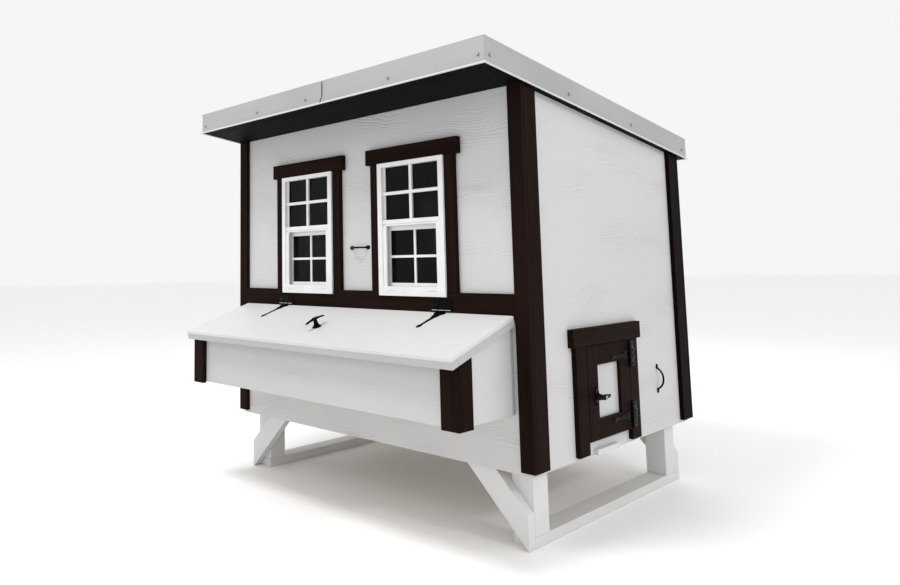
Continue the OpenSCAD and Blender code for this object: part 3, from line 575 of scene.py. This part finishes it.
def add_screw(bm, matrix, scale=1.0):
    """Adds the cross-head screw with its axis on local -y of matrix, turned at random."""
    before = len(bm.verts)
    bm.from_mesh(SCREW)
    bm.verts.ensure_lookup_table()
    turned = Matrix.Rotation(math.pi / 2, 4, "X") @ Matrix.Rotation(random.uniform(0, math.pi), 4, "Z")
    bmesh.ops.transform(bm, verts=bm.verts[before:], matrix=matrix @ turned @ Matrix.Scale(scale, 4))


def screws_at(bm, matrix, places, level, scale=1.0):
    """Screws at (x, z) places in mm, standing on the face at y = -level."""
    for x, z in places:
        add_screw(bm, matrix @ Matrix.Translation((x * MM, -level, z * MM)), scale)


def frame_of(origin, x_axis, y_axis):
    """A local frame from its origin and two of its axes."""
    x, y = Vector(x_axis).normalized(), Vector(y_axis).normalized()
    m = Matrix((x, y, x.cross(y))).transposed().to_4x4()
    m.translation = origin
    return m


# ---------- hinges ----------
# Every hinge: pin on local Z, mounting faces at y = KNUCKLE, leaf towards +x and strap towards -x.
# The knuckle's radius, the plates' thickness and the lid's slope are part.scad's. Outlines are in mm.
KNUCKLE = 5 * MM
PLATE = 2.5 * MM
PLATE_CHAMFER = 0.7 * MM
LID_TILT = math.radians(18)
LEAF = mirrored_outline(in_mm((
    (37, 0), (41.5, 4.5), (45.5, 12), (43, 20), (36.5, 25.5), (37.5, 29), (42, 36), (41, 44), (34, 50.5),
    (25, 51), (19, 48.5), (13, 51.5), (8, 52, True), (6, 50, True), (6, 0, True),
)))
STRAP = mirrored_outline(in_mm((
    (-6, 0, True), (-6, 24, True), (-11, 26), (-19, 25), (-26, 18.5), (-35, 15), (-45, 14.5), (-54, 10.5),
    (-64, 7.5), (-84, 6.5), (-102, 5.6), (-116, 5), (-126, 6.4), (-134, 9.4), (-142, 8.6), (-148, 5),
    (-152, 0),
)))
LEAF_SCREWS = ((30, 12), (30, -12), (31, 38), (31, -38), (15, 26), (15, -26))
STRAP_SCREWS = ((-17, 14), (-17, -14), (-44, 6.5), (-44, -6.5), (-90, 0), (-134, 0))
STRAP_RIBS = ((-22, -58, 3), (-64, -86, 2.4))  # start, end and half width at the start
LEAF_KNUCKLES = ((15, 47), (-47, -15))
STRAP_KNUCKLE = (-14.7, 14.7)
PIN_END = ((0.8, 0.0), (2.6, 0.5), (3.9, 1.8), (4.2, 3.0), (3.4, 4.3), (2.5, 5.0))
PIN_REACH = 52.4
STRIPE_START, STRIPE_SPAN, STRIPE_COLUMNS = -64, 38, 6  # degrees, degrees, count


def knuckle_highlight_stripe(bm, matrix, low, high, turned=0.0):
    """A pale strip with ragged ends on top of a knuckle: a painted highlight where the barrel would catch the
    light.
    """
    radius = KNUCKLE + 0.1 * MM
    rows = []
    for k in range(STRIPE_COLUMNS + 1):
        a = math.radians(STRIPE_START + STRIPE_SPAN * k / STRIPE_COLUMNS) - turned
        ends = [low * MM + random.uniform(0.8, 2.6) * MM, high * MM - random.uniform(0.8, 2.6) * MM]
        x, y = radius * math.cos(a), radius * math.sin(a)
        rows.append([bm.verts.new(matrix @ Vector((x, y, z))) for z in ends])
    for a, b in zip(rows, rows[1:]):
        bm.faces.new((a[0], b[0], b[1], a[1]))


def knuckle(bm, matrix, low, high):
    low, high, ease = low * MM, high * MM, 0.5 * MM
    profile = [(KNUCKLE - ease, low), (KNUCKLE, low + ease), (KNUCKLE, high - ease), (KNUCKLE - ease, high)]
    lathe(bm, profile, matrix, 28)


def rib(bm, matrix, start, end, half):
    """A raised rib pressed into the middle of a strap, narrower at its end."""
    corners = in_mm(((start, -half), (start, half), (end, half * 0.5), (end, -half * 0.5)))
    plate(bm, [Vector(p) for p in corners], 0.9 * MM, matrix, 0.5 * MM)


def hinge_leaf(bm, matrix):
    back = matrix @ Matrix.Translation((0, KNUCKLE, 0))
    plate(bm, curve_through(LEAF), PLATE, back, PLATE_CHAMFER)
    for low, high in LEAF_KNUCKLES:
        knuckle(bm, matrix, low, high)
    screws_at(bm, back, LEAF_SCREWS, PLATE)


def hinge_strap(bm, matrix):
    back = matrix @ Matrix.Translation((0, KNUCKLE, 0))
    plate(bm, curve_through(STRAP), PLATE, back, PLATE_CHAMFER)
    knuckle(bm, matrix, *STRAP_KNUCKLE)
    for start, end, half in STRAP_RIBS:
        rib(bm, back @ Matrix.Translation((0, -PLATE, 0)), start, end, half)
    screws_at(bm, back, STRAP_SCREWS, PLATE)


def hinge_pin(bm, matrix):
    profile = in_mm([(r, z - PIN_REACH) for r, z in PIN_END])
    lathe(bm, profile + [(r, -z) for r, z in reversed(profile)], matrix, 24)


# The nest lid's pins run level. The chicken door's are on the right wall and the rear door's on the back.
RIGHT_WALL_FROM = 0.5  # everything further right is on that wall
pins = {"lid": [], "hen": [], "rear": []}
for low, high in solids("hinge_pins"):
    size, middle = high - low, (low + high) / 2
    kind = "lid" if size.x > size.z else ("hen" if middle.x > RIGHT_WALL_FROM else "rear")
    pins[kind].append(middle)
FACING = {
    "lid": ((0, 0, 1), (0, 1, 0)),
    "hen": ((0, 1, 0), (-1, 0, 0)),
    "rear": ((-1, 0, 0), (0, -1, 0)),
}
leaves, pin_mesh, highlight_stripes, middle_highlight_stripes = bmesh.new(), bmesh.new(), bmesh.new(), bmesh.new()
straps = {kind: bmesh.new() for kind in pins}
for kind, middles in pins.items():
    for middle in sorted(middles, key=tuple):
        place = frame_of(middle, *FACING[kind])
        hinge_leaf(leaves, place)
        hinge_pin(pin_mesh, place)
        turn = math.pi / 2 - LID_TILT if kind == "lid" else 0.0
        turned = place @ Matrix.Rotation(turn, 4, "Z")
        hinge_strap(straps[kind], turned)
        # Pale strips on the lid hinges' knuckles: painted highlights along the barrels.
        if kind == "lid":
            for low, high in LEAF_KNUCKLES:
                knuckle_highlight_stripe(highlight_stripes, place, low, high)
            knuckle_highlight_stripe(middle_highlight_stripes, turned, *STRAP_KNUCKLE, turn)
stand_in(leaves, "hinge_leaves", ROUND)
# The strips are in the pale edge metal: painted highlights on the black knuckles.
finished(highlight_stripes, "hinge_leaves.painted_knuckle_highlights", "hinge_leaves", slot="edge_metal", smooth=ROUND)
finished(middle_highlight_stripes, "nest_lid_straps.painted_knuckle_highlights", "nest_lid_straps", slot="edge_metal", smooth=ROUND)
stand_in(pin_mesh, "hinge_pins", ROUND)
for kind, node in (("lid", "nest_lid_straps"), ("hen", "chicken_door_straps"), ("rear", "rear_door_straps")):
    stand_in(straps[kind], node, ROUND)

# ---------- T-handles ----------
# Every T-handle: stem on local Y coming out at -y, bar on local X, its plate on y = 0.
# Outlines and profiles are in mm.
HALF_ESCUTCHEON = (
    (0, 38), (5, 35.5), (7.5, 30), (6, 24.5), (9, 20), (15, 17.5), (18, 11), (15.5, 5), (14, 0),
    (15.5, -5), (18, -11), (15, -17.5), (9, -20), (6, -24.5), (7.5, -30), (5, -35.5), (0, -38),
)
ESCUTCHEON = mirrored_outline(in_mm(HALF_ESCUTCHEON), across_x=False)
ESCUTCHEON_THICKNESS = 3 * MM
ESCUTCHEON_SCREWS = ((0, -30), (0, 30))
ROSETTE = ((19, 0), (19, 1.6), (18.5, 2.5), (17.2, 3.0), (15.6, 3.05))
REACH = 35 * MM  # from the plate to the middle of the bar
HALF_BAR = (
    (0.5, -50), (3.6, -49.6), (5.4, -48.2), (6.6, -45), (7.0, -40), (6.8, -34), (7.0, -27), (8.0, -20),
    (9.4, -13), (10.2, -7), (10.4, 0),
)
BAR_FLATNESS = 0.5  # its depth over its width
ARM_START, ARM_LENGTH, ARM_DROOP = 9 * MM, 41 * MM, 5 * MM  # the bar's arms bend back towards the plate
STEM_ABOVE = (
    (6, 3), (15, 3.1), (15.4, 4.6), (14.2, 6.6), (11.6, 9), (9.8, 14), (8.8, 20), (8.2, 26), (8.0, 31),
)
LOCK_BOSS = ((8, 1.0), (8, 5.6), (7.2, 6.6), (6.2, 6.6), (6.1, 5.8))
LOCK = ((6, 5.0), (6, 7.0), (5.4, 7.6), (3.6, 7.6), (3.4, 7.2), (0.9, 7.2))
CAM = ((-8, 8), (8, 8), (8, -56), (5, -62), (-5, -62), (-8, -56))
CAM_THICKNESS = 3  # mm
TURN_OUT = Matrix.Rotation(math.pi / 2, 4, "X")  # takes local z to -y, out of the plate


def door_plate(bm, matrix):
    plate(bm, curve_through(ESCUTCHEON), ESCUTCHEON_THICKNESS, matrix, 1.1 * MM)
    screws_at(bm, matrix, ESCUTCHEON_SCREWS, ESCUTCHEON_THICKNESS, 0.85)


def rosette(bm, matrix):
    lathe(bm, in_mm(ROSETTE), matrix @ TURN_OUT, 40)


def handle_body(bm, lock, matrix, cam_depth, cam_turn):
    """The stem, the bar with its boss and the cam cam_depth mm behind go into bm, the lock into lock."""
    stem = ((6, -(cam_depth + CAM_THICKNESS)), (6, -2.0), *STEM_ABOVE)
    lathe(bm, in_mm(stem), matrix @ TURN_OUT, 32)
    half = in_mm(HALF_BAR)
    profile = half + [(r, -z) for r, z in reversed(half[:-1])]
    level = Matrix.Rotation(math.pi / 2, 4, "Y") @ Matrix.Diagonal((1.0, BAR_FLATNESS, 1.0, 1))
    before = len(bm.verts)
    lathe(bm, profile, level, 32)
    bm.verts.ensure_lookup_table()
    for v in bm.verts[before:]:
        arm = max(0.0, abs(v.co.x) - ARM_START) / ARM_LENGTH
        v.co = matrix @ (v.co + Vector((0, ARM_DROOP * arm**1.4 - REACH, 0)))
    bar_face = matrix @ Matrix.Translation((0, -REACH, 0)) @ TURN_OUT
    lathe(bm, in_mm(LOCK_BOSS), bar_face, 28)
    lathe(lock, in_mm(LOCK), bar_face, 28)
    cam_back = Matrix.Translation((0, (cam_depth + CAM_THICKNESS) * MM, 0))
    turned = matrix @ Matrix.Rotation(cam_turn, 4, "Y") @ cam_back
    plate(bm, [Vector(p) for p in in_mm(CAM)], CAM_THICKNESS * MM, turned, 0.6 * MM)


# How far the cam sits behind each plate, in mm: past the lid's ply and edging, or past the door's frame.
LID_DEPTH, DOOR_DEPTH = 46, 31
# The bar's direction is None for the lid, where it runs down the slope over a round plate.
for plate_node, handle_node, joint_name, bar_axis, depth, cam_turn in (
    ("lid_handle_plate", "lid_handle", "lid_latch_turn", None, LID_DEPTH, math.pi / 2),
    ("chicken_door_plate", "chicken_door_handle", "chicken_door_latch_turn", (0, 1, 0), DOOR_DEPTH, 0),
    ("rear_door_plate", "rear_door_handle", "rear_door_latch_turn", (-1, 0, 0), DOOR_DEPTH, 0),
):
    joint = next(j for j in frame["joints"] if j["name"] == joint_name)
    origin, inward = Vector(joint["pos_m"]), Vector(joint["axis"])
    bm = bmesh.new()
    if bar_axis is None:
        rosette(bm, frame_of(origin, (1, 0, 0), inward))
        bar_axis = Vector((1, 0, 0)).cross(inward)
    else:
        door_plate(bm, frame_of(origin, bar_axis, inward))
    stand_in(bm, plate_node, ROUND)
    bm, lock = bmesh.new(), bmesh.new()
    handle_body(bm, lock, frame_of(origin, bar_axis, inward), depth, cam_turn)
    stand_in(bm, handle_node, ROUND)
    finished(lock, handle_node + ".lock", handle_node, slot="edge_metal", smooth=ROUND)

# ---------- bow pulls ----------
PULL_HALF, PULL_RISE = 46 * MM, 27 * MM
PULL_STEPS, PULL_SIDES = 36, 16
PULL_BOW = 2.4  # the power of the curve: higher is flatter in the middle
FOOT_THICKNESS, FOOT_AT, FOOT_SCREW_AT = 3 * MM, 47 * MM, 54.5 * MM
HALF_FOOT = ((0, 13.5), (5, 11.5), (8.4, 5), (8.6, -1), (6, -6.5), (0, -8.5))  # mm from FOOT_AT


def bow_pull(bm, matrix):
    """A bowed rod, thickest in the middle, that flows into a flat foot with a screw at each end."""
    rings = []
    for i in range(PULL_STEPS + 1):
        t = -1 + 2 * i / PULL_STEPS
        z, y = PULL_HALF * t, -PULL_RISE * (1 - abs(t) ** PULL_BOW)
        slope = math.atan2(PULL_RISE * PULL_BOW * abs(t) ** (PULL_BOW - 1) * (1 if t > 0 else -1), PULL_HALF)
        radius = (4.0 - 0.7 * abs(t) ** 3) * MM
        flat = 1 + 0.55 * max(0.0, abs(t) - 0.82) / 0.18
        ring = []
        for k in range(PULL_SIDES):
            a = 2 * math.pi * k / PULL_SIDES
            across, out = radius * flat * math.cos(a), radius * math.sin(a)
            place = Vector((across, y + out * math.cos(slope), z - out * math.sin(slope)))
            ring.append(bm.verts.new(matrix @ place))
        rings.append(ring)
    skin(bm, rings)
    for side in (-1, 1):
        foot = [(x, side * (z + FOOT_AT)) for x, z in in_mm(HALF_FOOT)]
        outline = curve_through(mirrored_outline(foot, across_x=False))
        plate(bm, outline, FOOT_THICKNESS, matrix, 1.2 * MM)
        add_screw(bm, matrix @ Matrix.Translation((0, -FOOT_THICKNESS, side * FOOT_SCREW_AT)), 0.8)


bm = bmesh.new()
for low, high in solids("bow_pulls"):
    middle, size = (low + high) / 2, high - low
    if size.x > size.z:
        bow_pull(bm, frame_of((middle.x, high.y, middle.z), (0, 0, -1), (0, 1, 0)))
    else:
        bow_pull(bm, frame_of((low.x, middle.y, middle.z), (0, 1, 0), (-1, 0, 0)))
stand_in(bm, "bow_pulls", smooth=40)

# ---------- roof screws ----------
# Profiles in mm, but radii as shares of the CAD screw's radius.
RUBBER_RING = ((1.0, 0), (1.22, 0.5), (1.22, 1.2), (1.0, 1.6))
FLANGE = ((1, 1.5), (1, 2.0), (0.9, 2.5), (0.6, 2.8))
HEX_HEAD = ((0.62, 2.4), (0.62, 5.0), (0.558, 5.6), (0.341, 5.4))
ROOF_SCREW_RADIUS = 5 * MM


def turned_profile(bm, profile, matrix, sides):
    lathe(bm, [(ROOF_SCREW_RADIUS * share, level * MM) for share, level in profile], matrix, sides)


bm, rubber = bmesh.new(), bmesh.new()
for low, high in solids("roof_trim_screws"):
    middle, size = (low + high) / 2, high - low
    if size.y < size.x:
        base, outward = Vector((middle.x, high.y, middle.z)), Vector((0, -1, 0))
    else:
        side = 1 if middle.x > 0 else -1
        base, outward = Vector((low.x if side > 0 else high.x, middle.y, middle.z)), Vector((side, 0, 0))
    facing = Matrix.Translation(base) @ outward.to_track_quat("Z", "Y").to_matrix().to_4x4()
    facing = facing @ Matrix.Rotation(random.uniform(0, 1), 4, "Z")
    turned_profile(rubber, RUBBER_RING, facing, 28)
    turned_profile(bm, FLANGE, facing, 28)
    turned_profile(bm, HEX_HEAD, facing, 6)
stand_in(bm, "roof_trim_screws", CRISP)
finished(rubber, "roof_trim_screws.rubber_rings", "roof_trim_screws", slot="black_hardware", smooth=CRISP)

# ---------- roof edge: the rolled hem, in a lighter paint for a painted highlight, and a painted shadow at the front seam ---
HEM_RADIUS, HEM_OUT, HEM_UP, HEM_SIDES = 3.8, 2.2, 1.6, 12  # mm, from the foot of the trim's face
HEM_PAST_CORNER = 5 * MM
HEM_ANGLES = [2 * math.pi * k / HEM_SIDES for k in range(HEM_SIDES)]
HEM = [(HEM_OUT + HEM_RADIUS * math.cos(a), HEM_UP + HEM_RADIUS * math.sin(a)) for a in HEM_ANGLES]
LONG = 0.3  # the front and back lengths are longer than this in x
TOUCH = 2 * MM


def hem(bm, start, end, outward):
    """The hem from start to end, which bulges outward."""
    skin(bm, [
        [bm.verts.new(point + outward * (out * MM) + Vector((0, 0, up * MM))) for out, up in HEM]
        for point in (start, end)
    ])


trims = solids("roof_edge_trims")
roof_low = Vector([min(low[i] for low, high in trims) for i in range(3)])
roof_high = Vector([max(high[i] for low, high in trims) for i in range(3)])
level_trims = [(low, high) for low, high in trims if high.x - low.x > LONG]
front_trims = sorted(((a, b) for a, b in level_trims if a.y < roof_low.y + TOUCH), key=lambda trim: trim[0].x)
back_trims = [(a, b) for a, b in level_trims if b.y > roof_high.y - TOUCH]
front_foot, back_foot = min(low.z for low, high in front_trims), min(low.z for low, high in back_trims)
corners = (
    Vector((roof_low.x, roof_low.y, front_foot)),
    Vector((roof_high.x, roof_low.y, front_foot)),
    Vector((roof_high.x, roof_high.y, back_foot)),
    Vector((roof_low.x, roof_high.y, back_foot)),
)
bm = bmesh.new()
for k, outward in enumerate(((0, -1, 0), (1, 0, 0), (0, 1, 0), (-1, 0, 0))):
    start, end = corners[k], corners[(k + 1) % 4]
    past = (end - start).normalized() * HEM_PAST_CORNER
    hem(bm, start - past, end + past, Vector(outward))
bmesh.ops.recalc_face_normals(bm, faces=bm.faces)
# The hem takes the white board paint, lighter than the trim's own metal: a painted highlight along the trim's
# foot.
finished(bm, "roof_edge_trims.painted_highlight_hems", "roof_edge_trims", slot="white_board", smooth=60)

# A dark plate standing on the face where the right front length laps the left one, a painted shadow of the gap,
# cut back at the foot; in mm from the seam's foot.
shadow_top = (max(high.z for low, high in front_trims) - front_foot) / MM - 4
SEAM_SHADOW = ((-4.2, 30), (-21, 4), (-14, 4), (0.4, 31), (0.4, shadow_top), (-4.2, shadow_top))
seam_foot = Matrix.Translation((front_trims[0][1].x, roof_low.y, front_foot))
bm = bmesh.new()
plate(bm, [Vector(p) for p in in_mm(SEAM_SHADOW)], 0.5 * MM, seam_foot, 0.1 * MM)
# In the near-black soffit paint: painted shadow.
finished(bm, "roof_edge_trims.seam_shadow", "roof_edge_trims", slot="soffit_paint", smooth=CRISP)

# ---------- stage and lights ----------
AMBIENT = 0.92  # the strength of the white surroundings
# Soft round lamps: name, place, aim, diameter in metres, watts.
LAMPS = (
    ("key", (-1.6, -5.2, 4.2), (0, 0, 0.8), 0.6, 16),
    ("side", (5.4, -0.6, 3.4), (0, 0, 0.8), 0.6, 52),
    ("top", (-0.3, -2.7, 5.6), (0, -0.6, 0.8), 1.6, 150),
    ("back", (-2.5, 4.8, 3.6), (0, 0, 0.9), 3.0, 30),
)
for name, place, aim, diameter, watts in LAMPS:
    data = bpy.data.lights.new(name, "AREA")
    data.shape, data.size, data.energy = "DISK", diameter, watts
    lamp = bpy.data.objects.new(name, data)
    lamp.location = place
    lamp.rotation_euler = (Vector(aim) - Vector(place)).to_track_quat("-Z", "Y").to_euler()
    bpy.context.scene.collection.objects.link(lamp)

world = bpy.data.worlds.new("studio")
world.use_nodes = True
backdrop = world.node_tree.nodes["Background"]
backdrop.inputs["Color"].default_value = (1, 1, 1, 1)
backdrop.inputs["Strength"].default_value = AMBIENT
bpy.context.scene.world = world
bpy.context.scene.view_settings.view_transform = "Standard"

FLOOR_RADIUS = 40
FLOOR_TONES = (grey(0.935), grey(0.955))
bm = bmesh.new()
bmesh.ops.create_circle(bm, cap_ends=True, radius=FLOOR_RADIUS, segments=64)
floor = loose_object(bm, "studio_floor")
floor_look = Recipe("studio_floor", grey(0.94), 0.8)
speck = floor_look.noise(None, 1.2)
floor.data.materials.append(floor_look.coat(floor_look.mix(speck, *FLOOR_TONES)))
floor.location.z = CAD_BOX[0][2]
